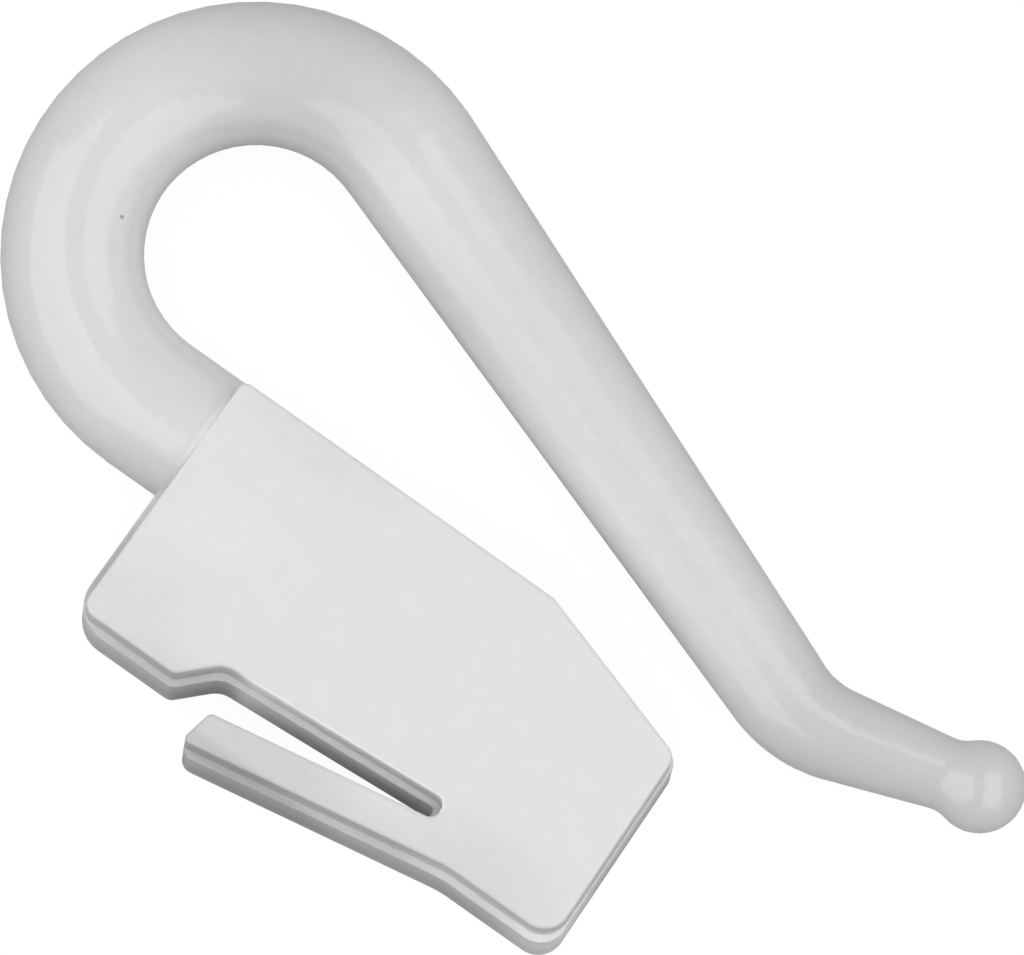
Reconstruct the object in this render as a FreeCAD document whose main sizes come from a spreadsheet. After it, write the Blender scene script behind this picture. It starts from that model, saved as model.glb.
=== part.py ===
import FreeCAD, Part
import math
import os
import Sketcher

# Moulded plastic curtain hook, in millimetres.
# The origin is the centre of the round eye, at the middle of the thickness.
# +X runs along the clip plate, +Y from the plate towards the long arm, and +Z out of the front face.
# It is one moulding: a round rod bent into the eye, a tapering arm with a dog-leg and a ball end,
# and a flat clip plate with a sprung tongue, whose front layer is set in from its back layer.

# Driving dimensions: name, value in millimetres or degrees, meaning
DIMENSIONS = [
    ("bend_radius", 4.62, "eye, centreline radius of the bend"),
    ("rod_diameter", 3.6, "rod in the eye and the short leg"),
    ("rod_overlap", 0.06, "length of the short leg inside the plate's front layer"),
    ("arm_angle", 20.4, "fall of the arm below the plate's direction, degrees"),
    ("arm_length", 16.4, "straight arm, from the eye to the dog-leg"),
    ("arm_end_diameter", 2.61, "arm where the dog-leg starts"),
    ("dogleg_radius", 2.9, "dog-leg, centreline radius"),
    ("dogleg_turn", 35.6, "dog-leg, angle of the turn, degrees"),
    ("neck_diameter", 2.36, "neck where the dog-leg ends"),
    ("neck_length", 3.84, "from the dog-leg to the centre of the ball"),
    ("neck_taper", 5.0, "slope of each side of the neck, degrees"),
    ("neck_fillet", 0.8, "rounding between the neck and the ball"),
    ("ball_diameter", 2.34, "ball end"),
    ("plate_thickness", 3.7, "clip plate, front face to back face"),
    ("front_thickness", 1.2, "clip plate, front face to the step between its layers"),
    ("plate_drop", 0.11, "upper edge of the plate below the inside of the eye"),
    ("plate_start", 1.48, "from the eye's centre to the near end of the plate"),
    ("plate_length", 14.67, "lower edge of the plate"),
    ("plate_height", 7.31, "near end of the plate"),
    ("slope_length", 4.98, "sloped stretch of the upper edge, along the plate"),
    ("slope_drop", 1.5, "sloped stretch of the upper edge, across the plate"),
    ("far_setback", 0.16, "lean of the far end towards the eye"),
    ("lip_offset", 3.13, "from the near end of the plate to the lip"),
    ("lip_height", 0.93, "rise of the lip at the mouth of the slit"),
    ("lip_angle", 45.0, "slope of the lip, degrees"),
    ("slit_angle", 3.85, "slope of the slit's upper wall, degrees"),
    ("slit_setback", 4.41, "from the slit's end to the far end of the plate"),
    ("slit_end_width", 0.35, "width of the slit at its end"),
    ("root_setback", 3.26, "from the tongue's root to the far end of the plate"),
    ("tip_offset", 0.97, "from the lip to the tongue's tip"),
    ("tip_slant", 0.26, "slant of the tongue's tip"),
    ("tongue_angle", 9.8, "splay of the tongue, degrees"),
    ("ledge", 0.19, "step between the layers along the lower sides and above the slit"),
    ("upper_ledge", 0.06, "step between the layers along the upper sides of the plate and the tongue"),
    ("near_ledge", 0.2, "step between the layers at the near end"),
    ("far_ledge", 0.06, "step between the layers at the far end"),
    ("tip_ledge", 0.02, "step between the layers at the tongue's tip"),
    ("near_corner", 0.95, "lower corner at the near end, radius in the back layer"),
    ("near_front_corner", 0.4, "lower corner at the near end, radius in the front layer"),
    ("inner_corner", 0.25, "upper corner beside the eye, radius"),
    ("shoulder_corner", 0.5, "bend in the upper edge, radius"),
    ("far_upper_corner", 0.42, "upper corner at the far end, radius"),
    ("far_lower_corner", 0.7, "lower corner at the far end, radius"),
    ("root_corner", 3.0, "bend at the tongue's root, radius"),
    ("tip_lower_corner", 0.35, "lower corner of the tongue's tip, radius in the back layer"),
    ("tip_front_corner", 0.15, "lower corner of the tongue's tip, radius in the front layer"),
    ("tip_upper_corner", 0.18, "upper corner of the tongue's tip, radius"),
    ("slit_corner", 0.1, "corners at the slit's end, radius in the back layer"),
    ("slit_front_corner", 0.26, "corners at the slit's end, radius in the front layer"),
    ("mouth_corner", 0.7, "hollow corner above the lip, radius"),
    ("lip_corner", 0.32, "corner of the lip, radius"),
    ("front_edge", 0.1, "rounding of the front face's edges"),
    ("back_edge", 0.16, "rounding of the back face's edges"),
]

# Each of the two roundings at the slit's end takes at most this share of the slit's width
ROUNDING_SHARE = 0.45
# Edges this close to a plane lie in it
TOUCHING = 1e-4

# How a sketch numbers the points of its lines and arcs, its origin, its X axis and its first borrowed edge
START = 1
END = 2
CENTRE = 3
ORIGIN = (-1, 1)
X_AXIS = -1
FIRST_BORROWED = -3


def make_sheet():
    """Put the driving dimensions in a spreadsheet, one alias to a row."""
    cells = doc.addObject("Spreadsheet::Sheet", "dims")
    for row, (name, value, meaning) in enumerate(DIMENSIONS, start=1):
        cells.set(f"A{row}", name)
        cells.set(f"B{row}", str(value))
        cells.set(f"C{row}", meaning)
        cells.setAlias(f"B{row}", name)
    doc.recompute()
    return cells


doc = FreeCAD.newDocument("curtain_hook")
sheet = make_sheet()
body = doc.addObject("PartDesign::Body", "curtain_hook")
body.Label = "curtain_hook"


def number(expression):
    """The value that an expression over the spreadsheet has now."""
    value = sheet.evalExpression(expression)
    return float(getattr(value, "Value", value))


def flat_sketch(name, height):
    """A sketch square to the hook's thickness, at a height from its middle."""
    sketch = body.newObject("Sketcher::SketchObject", name)
    plane = [item for item in body.Origin.OriginFeatures if item.Role == "XY_Plane"][0]
    sketch.AttachmentSupport = [(plane, "")]
    sketch.MapMode = "FlatFace"
    sketch.setExpression("AttachmentOffset.Base.z", height)
    return sketch


def across_path(name, edge, place):
    """A sketch square to an edge of the rod's path, at its start (0) or its end (1)."""
    sketch = body.newObject("Sketcher::SketchObject", name)
    sketch.AttachmentSupport = [(path, edge)]
    sketch.MapMode = "NormalToEdge"
    sketch.MapPathParameter = place
    return sketch


def along_path(name, edge, place):
    """A sketch whose X axis runs along an edge of the rod's path, from its start (0) or its end (1)."""
    sketch = across_path(name, edge, place)
    quarter_turn = FreeCAD.Rotation(FreeCAD.Vector(0, 1, 0), 90)
    sketch.AttachmentOffset = FreeCAD.Placement(FreeCAD.Vector(), quarter_turn)
    return sketch


def line(sketch, start, end):
    return sketch.addGeometry(Part.LineSegment(FreeCAD.Vector(*start), FreeCAD.Vector(*end)), False)


def arc(sketch, centre, radius, first_angle, last_angle):
    circle = Part.Circle(FreeCAD.Vector(*centre), FreeCAD.Vector(0, 0, 1), radius)
    return sketch.addGeometry(Part.ArcOfCircle(circle, first_angle, last_angle), False)


def relate(sketch, kind, *places):
    sketch.addConstraint(Sketcher.Constraint(kind, *places))


def dimension(sketch, name, expression, kind, *places):
    """Add a dimension to a sketch and bind it to the spreadsheet."""
    value = number(expression)
    if kind == "Angle":
        value = math.radians(value)
    index = sketch.addConstraint(Sketcher.Constraint(kind, *places, value))
    sketch.renameConstraint(index, name)
    sketch.setExpression(f"Constraints.{name}", expression)


def edge_of(sketch, side):
    """The name that a sketch's shape gives to the edge made by one of its lines or arcs."""
    middle = Part.Vertex(side.value((side.FirstParameter + side.LastParameter) / 2))
    gaps = [edge.distToShape(middle)[0] for edge in sketch.Shape.Edges]
    return f"Edge{gaps.index(min(gaps)) + 1}"


# Centreline of the rod: short leg, eye, arm, dog-leg and neck
LEG_END = "dims.plate_start + dims.near_ledge + dims.rod_overlap"
NECK_RISE = "dims.dogleg_turn - dims.arm_angle"


def draw_path(sketch):
    bend = number("dims.bend_radius")
    fall = math.radians(number("dims.arm_angle"))
    rise = math.radians(number(NECK_RISE))
    arm_length = number("dims.arm_length")
    turn_radius = number("dims.dogleg_radius")
    neck_length = number("dims.neck_length")
    arm_start = (bend * math.sin(fall), bend * math.cos(fall))
    arm_end = (arm_start[0] + arm_length * math.cos(fall), arm_start[1] - arm_length * math.sin(fall))
    turn_centre = (arm_end[0] + turn_radius * math.sin(fall), arm_end[1] + turn_radius * math.cos(fall))
    neck_start = (
        turn_centre[0] + turn_radius * math.sin(rise),
        turn_centre[1] - turn_radius * math.cos(rise),
    )
    neck_end = (neck_start[0] + neck_length * math.cos(rise), neck_start[1] + neck_length * math.sin(rise))
    down = 1.5 * math.pi
    leg = line(sketch, (number(LEG_END), -bend), (0, -bend))
    eye = arc(sketch, (0, 0), bend, math.pi / 2 - fall, down)
    arm = line(sketch, arm_start, arm_end)
    turn = arc(sketch, turn_centre, turn_radius, down - fall, down + rise)
    neck = line(sketch, neck_start, neck_end)
    relate(sketch, "Coincident", eye, CENTRE, *ORIGIN)
    relate(sketch, "Horizontal", leg)
    relate(sketch, "Tangent", leg, END, eye, END)
    relate(sketch, "Tangent", arm, START, eye, START)
    relate(sketch, "Tangent", arm, END, turn, START)
    relate(sketch, "Tangent", neck, START, turn, END)
    dimension(sketch, "bend_radius", "dims.bend_radius", "Radius", eye)
    dimension(sketch, "leg_end", LEG_END, "DistanceX", *ORIGIN, leg, START)
    dimension(sketch, "arm_fall", "-dims.arm_angle", "Angle", arm)
    dimension(sketch, "arm_length", "dims.arm_length", "Distance", arm)
    dimension(sketch, "turn_radius", "dims.dogleg_radius", "Radius", turn)
    dimension(sketch, "neck_rise", NECK_RISE, "Angle", neck)
    dimension(sketch, "neck_length", "dims.neck_length", "Distance", neck)


path = flat_sketch("rod_path", "0")
draw_path(path)
doc.recompute()
LEG, EYE, ARM, TURN, NECK = [edge_of(path, side) for side in path.Geometry]

# Plate: where its two layers meet, and the back layer's outline, clockwise from the corner beside the eye
BACK_THICKNESS = "(dims.plate_thickness - dims.front_thickness)"
STEP_HEIGHT = "(dims.plate_thickness / 2 - dims.front_thickness)"
TOP = "(dims.rod_diameter / 2 - dims.bend_radius - dims.plate_drop)"
BOTTOM = f"({TOP} - dims.plate_height)"
FAR_X = "(dims.plate_start + dims.plate_length)"
ROOT_X = f"({FAR_X} - dims.root_setback)"
SLIT_X = f"({FAR_X} - dims.slit_setback)"
LIP_X = "(dims.plate_start + dims.lip_offset)"
MOUTH_X = f"({LIP_X} + dims.lip_height / tan(dims.lip_angle))"
MOUTH_Y = f"({BOTTOM} + dims.lip_height)"
SLIT_HIGH_Y = f"({MOUTH_Y} + ({SLIT_X} - {MOUTH_X}) * tan(dims.slit_angle))"
SLIT_LOW_Y = f"({SLIT_HIGH_Y} - dims.slit_end_width)"
TIP_X = f"({LIP_X} + dims.tip_offset)"
TIP_LOW_Y = f"({BOTTOM} - ({ROOT_X} - {TIP_X}) * tan(dims.tongue_angle))"
TIP_HIGH_X = f"({TIP_X} + dims.tip_slant)"
TIP_HIGH_Y = f"({SLIT_LOW_Y} - ({SLIT_X} - {TIP_HIGH_X}) * tan(dims.tongue_angle))"
SLIT_CORNER = f"min(dims.slit_corner; {ROUNDING_SHARE} * dims.slit_end_width)"
SLIT_FRONT_WIDTH = "(dims.slit_end_width + dims.ledge + dims.upper_ledge)"
SLIT_FRONT_CORNER = f"min(dims.slit_front_corner; {ROUNDING_SHARE} * {SLIT_FRONT_WIDTH})"

# Each corner: name, X, Y, radius in the back layer and in the front layer, and the step to the front layer
# along the side that follows it
CORNERS = [
    ("inner", "dims.plate_start", TOP, "dims.inner_corner", "dims.inner_corner", "dims.upper_ledge"),
    ("shoulder", f"{FAR_X} - dims.slope_length", TOP, "dims.shoulder_corner", "dims.shoulder_corner",
     "dims.upper_ledge"),
    ("far_upper", f"{FAR_X} - dims.far_setback", f"{TOP} - dims.slope_drop", "dims.far_upper_corner",
     "dims.far_upper_corner", "dims.far_ledge"),
    ("far_lower", FAR_X, BOTTOM, "dims.far_lower_corner", "dims.far_lower_corner", "dims.ledge"),
    ("root", ROOT_X, BOTTOM, "dims.root_corner", "dims.root_corner", "dims.ledge"),
    ("tip_low", TIP_X, TIP_LOW_Y, "dims.tip_lower_corner", "dims.tip_front_corner", "dims.tip_ledge"),
    ("tip_high", TIP_HIGH_X, TIP_HIGH_Y, "dims.tip_upper_corner", "dims.tip_upper_corner",
     "dims.upper_ledge"),
    ("slit_low", SLIT_X, SLIT_LOW_Y, SLIT_CORNER, SLIT_FRONT_CORNER, "dims.ledge"),
    ("slit_high", SLIT_X, SLIT_HIGH_Y, SLIT_CORNER, SLIT_FRONT_CORNER, "dims.ledge"),
    ("mouth", MOUTH_X, MOUTH_Y, "dims.mouth_corner", "dims.mouth_corner", "dims.ledge"),
    ("lip", LIP_X, BOTTOM, "dims.lip_corner", "dims.lip_corner", "dims.ledge"),
    ("near", "dims.plate_start", BOTTOM, "dims.near_corner", "dims.near_front_corner", "dims.near_ledge"),
]
SIDES = len(CORNERS)


def directions(points):
    """The direction of each side, from its own corner to the next."""
    return [(points[(i + 1) % SIDES] - points[i]).normalize() for i in range(SIDES)]


def crossing(first_point, first_way, second_point, second_way):
    """Where two lines cross, each given by a point and a direction."""
    gap = second_point - first_point
    share = gap.cross(second_way).z / first_way.cross(second_way).z
    return first_point + first_way * share


def set_in(points, steps):
    """The corners left when each side moves into the plate by its own step."""
    ways = directions(points)
    moved = [points[i] + FreeCAD.Vector(ways[i].y, -ways[i].x) * steps[i] for i in range(SIDES)]
    return [crossing(moved[i - 1], ways[i - 1], moved[i], ways[i]) for i in range(SIDES)]


def draw_outline(sketch, points, radii):
    """Draw the sides and the corner arcs, tangent to each other, and bind the radii."""
    ways = directions(points)
    entries = []
    exits = []
    arcs = []
    for i in range(SIDES):
        size = number(radii[i])
        half_turn = ways[i - 1].getAngle(ways[i]) / 2
        entries.append(points[i] - ways[i - 1] * size * math.tan(half_turn))
        exits.append(points[i] + ways[i] * size * math.tan(half_turn))
        inward = (ways[i] - ways[i - 1]).normalize()
        centre = points[i] + inward * size / math.cos(half_turn)
        turns_left = ways[i - 1].cross(ways[i]).z > 0
        ends = (entries[i], exits[i]) if turns_left else (exits[i], entries[i])
        angles = [math.atan2(end.y - centre.y, end.x - centre.x) for end in ends]
        arcs.append((centre, size, angles, turns_left))
    for i in range(SIDES):
        line(sketch, exits[i], entries[(i + 1) % SIDES])
    for i in range(SIDES):
        centre, size, angles, turns_left = arcs[i]
        corner = arc(sketch, centre, size, *angles)
        entry, leave = (START, END) if turns_left else (END, START)
        relate(sketch, "Tangent", (i - 1) % SIDES, END, corner, entry)
        relate(sketch, "Tangent", i, START, corner, leave)
        dimension(sketch, f"{names[i]}_radius", radii[i], "Radius", corner)


names, xs, ys, back_radii, front_radii, steps = zip(*CORNERS)
corner_points = [FreeCAD.Vector(number(x), number(y), 0) for x, y in zip(xs, ys)]
corner_steps = [number(step) for step in steps]

back_outline = flat_sketch("back_outline", STEP_HEIGHT)
draw_outline(back_outline, corner_points, back_radii)
for i in range(SIDES):
    corner = back_outline.addGeometry(Part.Point(corner_points[i]), True)
    relate(back_outline, "PointOnObject", corner, START, (i - 1) % SIDES)
    relate(back_outline, "PointOnObject", corner, START, i)
    dimension(back_outline, f"{names[i]}_x", xs[i], "DistanceX", *ORIGIN, corner, START)
    dimension(back_outline, f"{names[i]}_y", ys[i], "DistanceY", *ORIGIN, corner, START)
doc.recompute()

# Outline of the front layer: each side runs beside the back layer's, one step inside it
front_outline = flat_sketch("front_outline", STEP_HEIGHT)
draw_outline(front_outline, set_in(corner_points, corner_steps), front_radii)
for i in range(SIDES):
    front_outline.addExternal(back_outline.Name, edge_of(back_outline, back_outline.Geometry[i]))
    back_side = FIRST_BORROWED - i
    relate(front_outline, "Parallel", i, back_side)
    dimension(front_outline, f"{names[i]}_step", steps[i], "Distance", i, START, back_side)
doc.recompute()


# The back layer goes below the step, and then the front layer on it
def pad_layer(name, outline, thickness, downwards):
    pad = body.newObject("PartDesign::Pad", name)
    pad.Profile = outline
    pad.Reversed = downwards
    pad.setExpression("Length", thickness)
    doc.recompute()
    return pad


def round_face(name, base, height, radius):
    """Round every edge of the flat face at one height."""
    level = number(height)
    edges = []
    for index, edge in enumerate(base.Shape.Edges, start=1):
        box = edge.BoundBox
        if max(abs(box.ZMin - level), abs(box.ZMax - level)) < TOUCHING:
            edges.append(f"Edge{index}")
    fillet = body.newObject("PartDesign::Fillet", name)
    fillet.Base = (base, edges)
    fillet.setExpression("Radius", radius)
    doc.recompute()


back_layer = pad_layer("back_layer", back_outline, BACK_THICKNESS, True)
round_face("back_rounding", back_layer, "-dims.plate_thickness / 2", "dims.back_edge")
front_layer = pad_layer("front_layer", front_outline, "dims.front_thickness", False)
round_face("front_rounding", front_layer, "dims.plate_thickness / 2", "dims.front_edge")


# Rod: round sections square to the path, or profiles turned about it
def section(name, edge, place, diameter):
    sketch = across_path(name, edge, place)
    circle = Part.Circle(FreeCAD.Vector(), FreeCAD.Vector(0, 0, 1), number(diameter) / 2)
    round_edge = sketch.addGeometry(circle, False)
    relate(sketch, "Coincident", round_edge, CENTRE, *ORIGIN)
    dimension(sketch, "diameter", diameter, "Diameter", round_edge)
    return sketch


def turned(name, profile):
    feature = body.newObject("PartDesign::Revolution", name)
    feature.Profile = profile
    feature.ReferenceAxis = (profile, ["H_Axis"])
    feature.Angle = 360
    doc.recompute()


# Short leg and eye: one bent rod of even thickness
eye = body.newObject("PartDesign::AdditivePipe", "eye")
eye.Profile = section("rod_section", LEG, 0, "dims.rod_diameter")
eye.Spine = (path, [LEG, EYE])
doc.recompute()


# Arm: a long cone from the eye to the dog-leg
def draw_arm(sketch):
    length = number("dims.arm_length")
    thick = number("dims.rod_diameter / 2")
    thin = number("dims.arm_end_diameter / 2")
    axis = line(sketch, (0, 0), (length, 0))
    far_end = line(sketch, (length, 0), (length, thin))
    flank = line(sketch, (length, thin), (0, thick))
    near_end = line(sketch, (0, thick), (0, 0))
    for side, following in ((axis, far_end), (far_end, flank), (flank, near_end), (near_end, axis)):
        relate(sketch, "Coincident", side, END, following, START)
    relate(sketch, "Coincident", axis, START, *ORIGIN)
    relate(sketch, "Horizontal", axis)
    relate(sketch, "Vertical", near_end)
    relate(sketch, "Vertical", far_end)
    dimension(sketch, "length", "dims.arm_length", "Distance", axis)
    dimension(sketch, "thick", "dims.rod_diameter / 2", "Distance", near_end)
    dimension(sketch, "thin", "dims.arm_end_diameter / 2", "Distance", far_end)


arm_profile = along_path("arm_profile", ARM, 0)
draw_arm(arm_profile)
turned("arm", arm_profile)

# Dog-leg: a short bend that thins from the arm to the neck
dogleg = body.newObject("PartDesign::AdditivePipe", "dogleg")
dogleg.Profile = section("dogleg_start", TURN, 0, "dims.arm_end_diameter")
dogleg.Sections = [section("dogleg_end", TURN, 1, "dims.neck_diameter")]
dogleg.Spine = (path, [TURN])
dogleg.Transformation = "Multisection"
doc.recompute()


# Neck and ball: one profile about the ball's centre, with a hollow rounding between the two
def draw_neck(sketch):
    length = number("dims.neck_length")
    thick = number("dims.neck_diameter / 2")
    slope = math.radians(number("dims.neck_taper"))
    hollow = number("dims.neck_fillet")
    ball = number("dims.ball_diameter / 2")
    flank_start = FreeCAD.Vector(-length, thick, 0)
    along = FreeCAD.Vector(math.cos(slope), -math.sin(slope), 0)
    outward = FreeCAD.Vector(math.sin(slope), math.cos(slope), 0)
    # The hollow's centre lies one hollow radius off the flank and off the ball
    off_flank = flank_start + outward * hollow
    abreast = -off_flank.dot(along)
    reach = math.sqrt((ball + hollow) ** 2 - off_flank.dot(outward) ** 2)
    hollow_centre = off_flank + along * (abreast - reach)
    flank_end = hollow_centre - outward * hollow
    meeting_angle = math.atan2(hollow_centre.y, hollow_centre.x)
    flank_angle = math.atan2(-outward.y, -outward.x)
    axis = line(sketch, (-length, 0), (ball, 0))
    near_end = line(sketch, (-length, 0), flank_start)
    flank = line(sketch, flank_start, flank_end)
    rounding = arc(sketch, hollow_centre, hollow, flank_angle, meeting_angle - math.pi)
    ball_side = arc(sketch, (0, 0), ball, 0, meeting_angle)
    relate(sketch, "Coincident", axis, START, near_end, START)
    relate(sketch, "Coincident", near_end, END, flank, START)
    relate(sketch, "Tangent", flank, END, rounding, START)
    relate(sketch, "Tangent", rounding, END, ball_side, END)
    relate(sketch, "Coincident", ball_side, START, axis, END)
    relate(sketch, "Coincident", ball_side, CENTRE, *ORIGIN)
    relate(sketch, "PointOnObject", axis, START, X_AXIS)
    relate(sketch, "PointOnObject", axis, END, X_AXIS)
    relate(sketch, "Vertical", near_end)
    dimension(sketch, "length", "-dims.neck_length", "DistanceX", *ORIGIN, axis, START)
    dimension(sketch, "thick", "dims.neck_diameter / 2", "Distance", near_end)
    dimension(sketch, "slope", "-dims.neck_taper", "Angle", flank)
    dimension(sketch, "hollow", "dims.neck_fillet", "Radius", rounding)
    dimension(sketch, "ball", "dims.ball_diameter / 2", "Radius", ball_side)


neck_profile = along_path("neck_profile", NECK, 1)
draw_neck(neck_profile)
turned("neck", neck_profile)

for item in doc.Objects:
    if "Invalid" in item.State or "Error" in item.State:
        raise RuntimeError(f"{item.Name} failed: {item.getStatusString()}")
if body.Shape.isNull() or not body.Shape.isValid() or len(body.Shape.Solids) != 1:
    raise RuntimeError("the hook isn't one valid solid")

os.makedirs("parts", exist_ok=True)
body.Shape.exportStep(f"parts/{body.Label}.step")
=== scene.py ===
import math

import bpy
from mathutils import Matrix, Vector


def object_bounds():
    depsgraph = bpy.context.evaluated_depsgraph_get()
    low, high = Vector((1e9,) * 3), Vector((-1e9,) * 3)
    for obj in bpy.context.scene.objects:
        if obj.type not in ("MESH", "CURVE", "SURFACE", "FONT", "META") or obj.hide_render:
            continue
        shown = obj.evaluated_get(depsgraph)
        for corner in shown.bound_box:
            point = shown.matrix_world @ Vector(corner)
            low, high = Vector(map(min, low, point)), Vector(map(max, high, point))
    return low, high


MM = 0.001

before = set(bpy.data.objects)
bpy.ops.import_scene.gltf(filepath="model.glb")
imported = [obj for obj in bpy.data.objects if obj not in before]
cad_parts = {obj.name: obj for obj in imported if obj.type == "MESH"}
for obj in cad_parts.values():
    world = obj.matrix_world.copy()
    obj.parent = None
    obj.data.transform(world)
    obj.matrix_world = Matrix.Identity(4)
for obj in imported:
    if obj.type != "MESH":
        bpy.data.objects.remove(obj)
cad_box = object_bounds()
scene = bpy.context.scene
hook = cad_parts["curtain_hook"]

# Camera: a long lens, looking almost straight at the plate's front face, with AIM seen at AIM_PIXEL
IMAGE_WIDTH = 1024
IMAGE_HEIGHT = 955
PIXELS_PER_MM = 40.0
AIM = Vector((8, -2, 0)) * MM
AIM_PIXEL = (471.5, 503.7)
ROLL = math.radians(35.51)
TILT = math.radians(8.48)
LEAN = math.radians(-66.3)
LENS_DISTANCE = 0.8
SENSOR_WIDTH = 36

towards_camera = Vector((
    math.sin(TILT) * math.cos(LEAN),
    math.sin(TILT) * math.sin(LEAN),
    math.cos(TILT),
))
image_right = Vector((math.cos(ROLL), math.sin(ROLL), 0))
image_right = (image_right - towards_camera * image_right.dot(towards_camera)).normalized()
image_up = towards_camera.cross(image_right)
right_shift = (IMAGE_WIDTH / 2 - AIM_PIXEL[0]) / PIXELS_PER_MM * MM
up_shift = (AIM_PIXEL[1] - IMAGE_HEIGHT / 2) / PIXELS_PER_MM * MM
middle = AIM + image_right * right_shift + image_up * up_shift

# Studio: a pale floor under the hook, soft boxes around the camera, and an even fill
FLOOR_GAP = 0.01 * MM
FLOOR_SIZE = 0.6
FLOOR_COLOUR = 0.07
FLOOR_GLOW = 0.95
FILL_LIGHT = 0.2
BOX_DISTANCE = 0.25
# Each box: name, swing to the camera's right and lift above it, width and height, all in degrees,
# radiance, and whether it is only seen in the gloss
SOFT_BOXES = [
    ("soft_box_front", 0, 0, 40, 40, 3.1, False),
    ("soft_box_left", -72, 2, 28, 70, 2.05, False),
    ("soft_box_right", 72, 0, 28, 70, 1.85, False),
    ("soft_box_top", 0, 70, 70, 28, 1.8, False),
    ("soft_box_low", 0, -62, 70, 32, 1.4, False),
    ("sheen_box_left", -44, 0, 60, 74, 1.32, True),
    ("sheen_box_right", 38, -10, 46, 84, 1.28, True),
]

# Plastic: white and satin, with painted shade that greys the round rod, the plate's walls and the thin
# parts, and painted light in the slit
PLASTIC_TONE = 0.7
# Painted shade on the rod and the walls, and painted light in the slit, as shares of the plate's tone
ROD_PAINTED_SHADE = 0.91
FRONT_WALL_PAINTED_SHADE = 0.9
BACK_WALL_PAINTED_SHADE = 0.66
SLIT_PAINTED_LIGHT = 1.4
# Noise in the plastic: sizes in millimetres, details in octaves, depths as shares of the tone
NOISE_SPAN = (0.3, 0.7)
CLOUD_SIZE = 0.7
CLOUD_DETAIL = 3
CLOUD_DEPTH = 0.01
MOTTLE_SIZE = 0.14
MOTTLE_DETAIL = 2
MOTTLE_DEPTH = 0.009
WAVE_SIZE = 0.5
WAVE_DETAIL = 2
WAVE_HEIGHT = 0.006 * MM
GRAIN_SIZE = 0.06
GRAIN_DETAIL = 2
GRAIN_HEIGHT = 0.0006 * MM
GLOSS_WAVE_SIZE = 0.22
GLOSS_WAVE_DETAIL = 1
GLOSS_WAVE_HEIGHT = 0.012 * MM
EDGE_SOFTNESS = 0.08 * MM
# Gloss: all of it comes from the coat, whose weight changes along X
ROUGHNESS_SPAN = (0.62, 0.78)
COAT_ROUGHNESS = 0.08
COAT_IOR = 2.5
COAT_ON_BEND = 0.23
COAT_ON_ARM = 0.12
COAT_ON_BALL = 0.3
ARM_START_X = (1.0, 6.0)
ARM_END_X = (14.5, 19.0)
# Where the plate, the leg and the slit lie, in millimetres on the hook's own axes
PLATE_NEAR_X = 1.6
PLATE_TOP_Y = -2.93
LEG_LOW_Y = -6.42
REGION_BLEND = 0.2
FACE_Z = cad_box[1].z / MM
FACE_EDGE_START = 0.015
FACE_EDGE_END = 0.05
LEDGE_Z = 0.65
LEDGE_REACH = 0.06
LEDGE_EVEN_SHARE = 0.5
WALL_FADE = 1.9
SLIT_MOUTH_X = 5.5
SLIT_MOUTH_Y = -9.2
SLIT_MOUTH_FADE = 1.0
SLIT_END_X = 12.0
SLIT_SLOPE = math.tan(math.radians(3.85))
SLIT_REACH = 0.3
SLIT_EVEN_SHARE = 0.7
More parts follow.
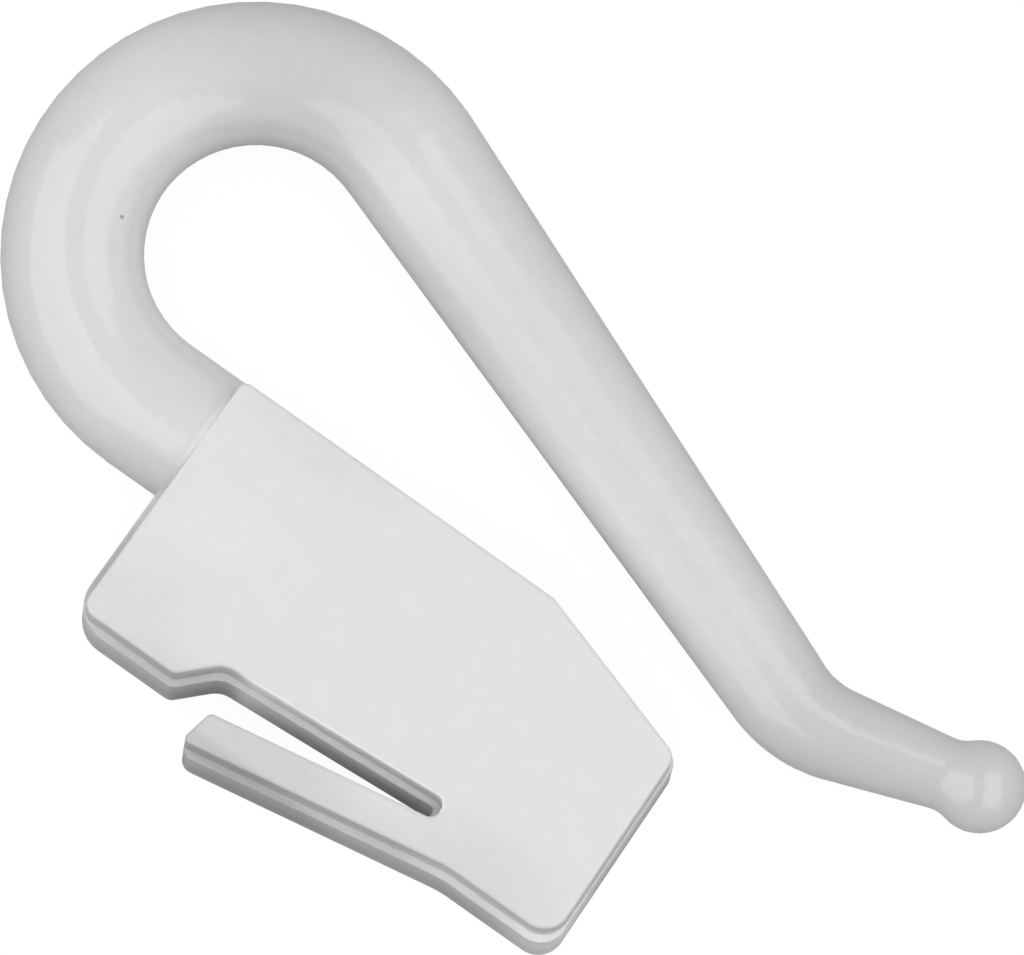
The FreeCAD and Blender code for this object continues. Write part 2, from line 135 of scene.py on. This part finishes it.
# Lighter and darker spots of painted shade and painted light, with painted shade in a small pit and two
# faint darker scratch lines:
# middle and half sizes in millimetres, turn in degrees, share of the spot that is even, change of tone
SHADE_LIGHT_AND_SCRATCH_SPOTS = {
    # Painted shade, darker over the top of the bend and on its inside
    "bend_top": ((-1.9, 4.4, 0), (4.6, 4.6, 4.6), 0, 0.3, -0.12),
    "bend_inside": ((-0.3, 3.9, 1.6), (3.2, 1.0, 1.6), 0, 0.2, -0.045),
    # Painted light, lighter along the arm's underside beside the plate
    "arm_underside": ((12.4, -1.2, 0), (10.5, 1.3, 2.2), -20.4, 0.3, 0.24),
    # Painted shade, darker towards the ball end
    "ball_end": ((20.2, -1.3, 0), (5.6, 5.6, 5.6), 0, 0.3, -0.16),
    # Painted light, lighter at the join of the leg and the plate, and on the plate beside the leg
    "leg_join": ((1.62, -4.67, 1.75), (0.13, 1.9, 0.3), 0, 0.4, 0.08),
    "plate_by_leg": ((3.9, -6.4, 0), (3.0, 2.0, 4), 0, 0.2, 0.03),
    # Painted shade, darker at the plate's near corners, on its near end wall, on the tongue and its wall,
    # and below the slit's end
    "near_top_corner": ((4.0, -3.2, 0), (4.5, 1.6, 4), 0, 0.2, -0.07),
    "near_low_corner": ((2.6, -9.6, 0), (3.2, 2.6, 4), 0, 0.2, -0.09),
    "near_end_wall": ((1.3, -8.6, 0), (0.7, 2.6, 3.2), 0, 0.4, -0.24),
    "tongue": ((7.0, -10.6, 0), (6.2, 1.6, 5.2), 0, 0.4, -0.15),
    "tongue_wall": ((8.0, -11.1, -0.4), (9.0, 0.45, 4), 0, 0.4, -0.2),
    "below_slit_end": ((13.6, -10.2, 0), (4.5, 2.6, 4), 0, 0.2, -0.13),
    # Painted light, lighter on the low front wall and on the far corner wall
    "low_front_wall": ((13.9, -10.1, 1.0), (2.8, 0.8, 0.78), 0, 0.5, 0.15),
    "far_corner_wall": ((16.1, -9.8, -0.8), (2.4, 2.4, 2.4), 0, 0.1, 0.5),
    # Painted shade in a small pit, and two faint darker scratch lines
    "pit": ((-3.21, -1.35, 1.4), (0.07, 0.07, 0.3), 0, 0.4, -0.55),
    "long_scratch": ((14.85, -4.75, 1.85), (0.24, 0.03, 0.1), 0, 0.3, -0.06),
    "short_scratch": ((14.8, -4.9, 1.85), (0.14, 0.025, 0.1), 0, 0.3, -0.04),
}


def maths(tree, operation, first, second):
    """A maths node on two values, each a socket or a number."""
    node = tree.nodes.new("ShaderNodeMath")
    node.operation = operation
    for socket, value in zip(node.inputs, (first, second)):
        if isinstance(value, (int, float)):
            socket.default_value = value
        else:
            tree.links.new(value, socket)
    return node.outputs["Value"]


def apart(tree, first, second):
    """How far two values lie apart."""
    return maths(tree, "ABSOLUTE", maths(tree, "SUBTRACT", first, second), 0)


def blend(tree, share, first, second):
    """Goes from the first value, at a share of 0, to the second, at a share of 1."""
    change = maths(tree, "MULTIPLY", share, maths(tree, "SUBTRACT", second, first))
    return maths(tree, "ADD", change, first)


def ease(tree, value, start, end, low, high):
    """Maps a value smoothly from start..end to low..high."""
    node = tree.nodes.new("ShaderNodeMapRange")
    node.interpolation_type = "SMOOTHSTEP"
    for name, number in (("From Min", start), ("From Max", end), ("To Min", low), ("To Max", high)):
        node.inputs[name].default_value = number
    tree.links.new(value, node.inputs["Value"])
    return node.outputs["Result"]


def split(tree, place):
    """The X, Y and Z of a place."""
    axes = tree.nodes.new("ShaderNodeSeparateXYZ")
    tree.links.new(place, axes.inputs["Vector"])
    return axes.outputs["X"], axes.outputs["Y"], axes.outputs["Z"]


def noise(tree, place, size, detail):
    """Noise whose blotches are about size millimetres across."""
    node = tree.nodes.new("ShaderNodeTexNoise")
    node.inputs["Scale"].default_value = 1 / size
    node.inputs["Detail"].default_value = detail
    tree.links.new(place, node.inputs["Vector"])
    return node.outputs["Fac"]


def bump(tree, height, distance, under):
    """Raises the surface by a height from 0 to 1, over the bump that lies under it."""
    node = tree.nodes.new("ShaderNodeBump")
    node.inputs["Distance"].default_value = distance
    tree.links.new(height, node.inputs["Height"])
    tree.links.new(under, node.inputs["Normal"])
    return node.outputs["Normal"]


def background_rays(tree):
    """1 for rays that show the background to the camera or in a reflection, and 0 for rays of light."""
    path = tree.nodes.new("ShaderNodeLightPath")
    total = path.outputs["Is Camera Ray"]
    for ray in ("Is Glossy Ray", "Is Transmission Ray"):
        total = maths(tree, "MAXIMUM", total, path.outputs[ray])
    return total


def make_camera():
    view_width = IMAGE_WIDTH / PIXELS_PER_MM * MM
    data = bpy.data.cameras.new("camera")
    data.sensor_width = SENSOR_WIDTH
    data.lens = SENSOR_WIDTH * LENS_DISTANCE / view_width
    data.clip_end = 2 * LENS_DISTANCE
    camera = bpy.data.objects.new("camera", data)
    scene.collection.objects.link(camera)
    axes = Matrix((image_right, image_up, towards_camera)).transposed()
    camera.matrix_world = Matrix.Translation(middle + towards_camera * LENS_DISTANCE) @ axes.to_4x4()
    scene.camera = camera


def floor_material():
    """A pale grey that catches the shadow, with a white glow that only background rays see."""
    material = bpy.data.materials.new("floor")
    material.use_nodes = True
    tree = material.node_tree
    tree.nodes.clear()
    diffuse = tree.nodes.new("ShaderNodeBsdfDiffuse")
    diffuse.inputs["Color"].default_value = (FLOOR_COLOUR, FLOOR_COLOUR, FLOOR_COLOUR, 1)
    glow = tree.nodes.new("ShaderNodeEmission")
    level = maths(tree, "MULTIPLY", background_rays(tree), FLOOR_GLOW)
    tree.links.new(level, glow.inputs["Strength"])
    both = tree.nodes.new("ShaderNodeAddShader")
    tree.links.new(diffuse.outputs["BSDF"], both.inputs[0])
    tree.links.new(glow.outputs["Emission"], both.inputs[1])
    output = tree.nodes.new("ShaderNodeOutputMaterial")
    tree.links.new(both.outputs["Shader"], output.inputs["Surface"])
    return material


def make_floor():
    half = FLOOR_SIZE / 2
    low = cad_box[0].z - FLOOR_GAP
    corners = [(-half, -half, low), (half, -half, low), (half, half, low), (-half, half, low)]
    mesh = bpy.data.meshes.new("floor")
    mesh.from_pydata(corners, [], [(0, 1, 2, 3)])
    mesh.materials.append(floor_material())
    floor = bpy.data.objects.new("floor", mesh)
    scene.collection.objects.link(floor)


def make_world():
    """White for background rays, and a weak even fill for rays of light."""
    world = bpy.data.worlds.new("studio")
    world.use_nodes = True
    tree = world.node_tree
    level = tree.nodes.new("ShaderNodeMapRange")
    level.inputs["To Min"].default_value = FILL_LIGHT
    level.inputs["To Max"].default_value = 1
    tree.links.new(background_rays(tree), level.inputs["Value"])
    sky = tree.nodes["Background"]
    sky.inputs["Color"].default_value = (1, 1, 1, 1)
    tree.links.new(level.outputs["Result"], sky.inputs["Strength"])
    scene.world = world


def soft_box(name, swing, lift, width, height, radiance, gloss_only):
    """A soft box that faces the hook, placed by its angles from the camera's direction."""
    swing = math.radians(swing)
    lift = math.radians(lift)
    facing = towards_camera * math.cos(swing) + image_right * math.sin(swing)
    facing = facing * math.cos(lift) + image_up * math.sin(lift)
    side = image_up.cross(facing).normalized()
    data = bpy.data.lights.new(name, "AREA")
    data.shape = "RECTANGLE"
    data.size = 2 * BOX_DISTANCE * math.tan(math.radians(width / 2))
    data.size_y = 2 * BOX_DISTANCE * math.tan(math.radians(height / 2))
    data.energy = radiance * math.pi * data.size * data.size_y
    lamp = bpy.data.objects.new(name, data)
    scene.collection.objects.link(lamp)
    axes = Matrix((side, facing.cross(side), facing)).transposed()
    lamp.matrix_world = Matrix.Translation(middle + facing * BOX_DISTANCE) @ axes.to_4x4()
    lamp.visible_camera = False
    lamp.visible_diffuse = not gloss_only
    lamp.visible_glossy = gloss_only


def on_plate(tree, x, y):
    """1 on the plate and the tongue, and 0 on the rod."""
    past_near_end = ease(tree, x, PLATE_NEAR_X - REGION_BLEND, PLATE_NEAR_X + REGION_BLEND, 0, 1)
    below_top = ease(tree, y, PLATE_TOP_Y, PLATE_TOP_Y + REGION_BLEND, 1, 0)
    beside_leg = maths(tree, "MULTIPLY", past_near_end, below_top)
    below_leg = ease(tree, y, LEG_LOW_Y - REGION_BLEND, LEG_LOW_Y, 1, 0)
    return maths(tree, "MAXIMUM", beside_leg, below_leg)


def on_wall(tree, z):
    """1 at the depth of the plate's walls, and 0 at its front face and at the ledge of its two layers."""
    behind_face = ease(tree, z, FACE_Z - FACE_EDGE_END, FACE_Z - FACE_EDGE_START, 1, 0)
    off_ledge = apart(tree, z, LEDGE_Z)
    past_ledge = ease(tree, off_ledge, LEDGE_EVEN_SHARE * LEDGE_REACH, LEDGE_REACH, 0, 1)
    return maths(tree, "MULTIPLY", behind_face, past_ledge)


def off_slit_wall(tree, x, y):
    """0 on the plate's wall along the slit, and 1 elsewhere."""
    along = maths(tree, "SUBTRACT", x, SLIT_MOUTH_X)
    slit_y = maths(tree, "ADD", maths(tree, "MULTIPLY", along, SLIT_SLOPE), SLIT_MOUTH_Y)
    by_wall = ease(tree, apart(tree, y, slit_y), SLIT_EVEN_SHARE * SLIT_REACH, SLIT_REACH, 1, 0)
    past_mouth = ease(tree, along, 0, SLIT_MOUTH_FADE, 0, 1)
    before_end = ease(tree, x, SLIT_END_X, SLIT_END_X + REGION_BLEND, 1, 0)
    in_slit = maths(tree, "MULTIPLY", maths(tree, "MULTIPLY", by_wall, past_mouth), before_end)
    return ease(tree, in_slit, 0, 1, 1, 0)


def region_shade_and_light(tree, place):
    """1 on the plate's front face and its ledge, painted shade on the rod and on the walls, darker towards
    the floor, and painted light on the walls in the slit.
    """
    x, y, z = split(tree, place)
    plate = on_plate(tree, x, y)
    # Painted shade on the walls, darker towards the floor, and painted light on the slit's walls
    outer_wall_shade = ease(tree, z, LEDGE_Z - WALL_FADE, LEDGE_Z, BACK_WALL_PAINTED_SHADE, FRONT_WALL_PAINTED_SHADE)
    wall_shade_or_slit_light = blend(tree, off_slit_wall(tree, x, y), SLIT_PAINTED_LIGHT, outer_wall_shade)
    wall = maths(tree, "MULTIPLY", plate, on_wall(tree, z))
    face_or_wall = blend(tree, wall, 1, wall_shade_or_slit_light)
    # Painted shade: the rod is greyer than the plate
    rod_or_plate = ease(tree, plate, 0, 1, ROD_PAINTED_SHADE, 1)
    return maths(tree, "MULTIPLY", rod_or_plate, face_or_wall)


def spot(tree, place, centre, half_sizes, turn, even_share, change):
    """1 + change in the middle of an ellipsoid, and 1 outside it."""
    inside = tree.nodes.new("ShaderNodeMapping")
    inside.vector_type = "TEXTURE"
    inside.inputs["Location"].default_value = centre
    inside.inputs["Rotation"].default_value = (0, 0, math.radians(turn))
    inside.inputs["Scale"].default_value = half_sizes
    tree.links.new(place, inside.inputs["Vector"])
    length = tree.nodes.new("ShaderNodeVectorMath")
    length.operation = "LENGTH"
    tree.links.new(inside.outputs["Vector"], length.inputs[0])
    return ease(tree, length.outputs["Value"], even_share, 1, 1 + change, 1)


def plastic_tone(tree, place, clouds):
    """The plastic's tone, with painted shade and painted light by region and in spots, and its clouds and
    mottle.
    """
    tone = maths(tree, "MULTIPLY", region_shade_and_light(tree, place), PLASTIC_TONE)
    for spot_values in SHADE_LIGHT_AND_SCRATCH_SPOTS.values():
        tone = maths(tree, "MULTIPLY", tone, spot(tree, place, *spot_values))
    mottle = noise(tree, place, MOTTLE_SIZE, MOTTLE_DETAIL)
    for pattern, depth in ((clouds, CLOUD_DEPTH), (mottle, MOTTLE_DEPTH)):
        tone = maths(tree, "MULTIPLY", tone, ease(tree, pattern, *NOISE_SPAN, 1 - depth, 1 + depth))
    return tone


def coat_weight(tree, place):
    """The coat is thinner along the arm than on the bend and the ball."""
    x = split(tree, place)[0]
    from_bend = ease(tree, x, *ARM_START_X, COAT_ON_BEND, COAT_ON_ARM)
    to_ball = ease(tree, x, *ARM_END_X, 0, COAT_ON_BALL - COAT_ON_ARM)
    return maths(tree, "ADD", from_bend, to_ball)


def make_plastic():
    material = bpy.data.materials.new("white_plastic")
    material.use_nodes = True
    tree = material.node_tree
    shader = tree.nodes["Principled BSDF"]
    coordinates = tree.nodes.new("ShaderNodeTexCoord")
    in_mm = tree.nodes.new("ShaderNodeVectorMath")
    in_mm.operation = "SCALE"
    in_mm.inputs["Scale"].default_value = 1 / MM
    tree.links.new(coordinates.outputs["Object"], in_mm.inputs[0])
    place = in_mm.outputs["Vector"]

    clouds = noise(tree, place, CLOUD_SIZE, CLOUD_DETAIL)
    tone = plastic_tone(tree, place, clouds)
    colour = tree.nodes.new("ShaderNodeCombineColor")
    for channel in ("Red", "Green", "Blue"):
        tree.links.new(tone, colour.inputs[channel])
    tree.links.new(colour.outputs["Color"], shader.inputs["Base Color"])

    shader.inputs["Specular IOR Level"].default_value = 0.0
    roughness = ease(tree, clouds, *NOISE_SPAN, *ROUGHNESS_SPAN)
    tree.links.new(roughness, shader.inputs["Roughness"])
    tree.links.new(coat_weight(tree, place), shader.inputs["Coat Weight"])
    shader.inputs["Coat Roughness"].default_value = COAT_ROUGHNESS
    shader.inputs["Coat IOR"].default_value = COAT_IOR

    soft_edges = tree.nodes.new("ShaderNodeBevel")
    soft_edges.inputs["Radius"].default_value = EDGE_SOFTNESS
    smooth = soft_edges.outputs["Normal"]
    waves = bump(tree, noise(tree, place, WAVE_SIZE, WAVE_DETAIL), WAVE_HEIGHT, smooth)
    grain = bump(tree, noise(tree, place, GRAIN_SIZE, GRAIN_DETAIL), GRAIN_HEIGHT, waves)
    tree.links.new(grain, shader.inputs["Normal"])
    gloss_noise = noise(tree, place, GLOSS_WAVE_SIZE, GLOSS_WAVE_DETAIL)
    gloss_waves = bump(tree, gloss_noise, GLOSS_WAVE_HEIGHT, smooth)
    tree.links.new(gloss_waves, shader.inputs["Coat Normal"])
    return material


make_camera()
make_floor()
make_world()
for soft_box_values in SOFT_BOXES:
    soft_box(*soft_box_values)
scene.view_settings.view_transform = "Standard"

hook.data.materials.clear()
hook.data.materials.append(make_plastic())
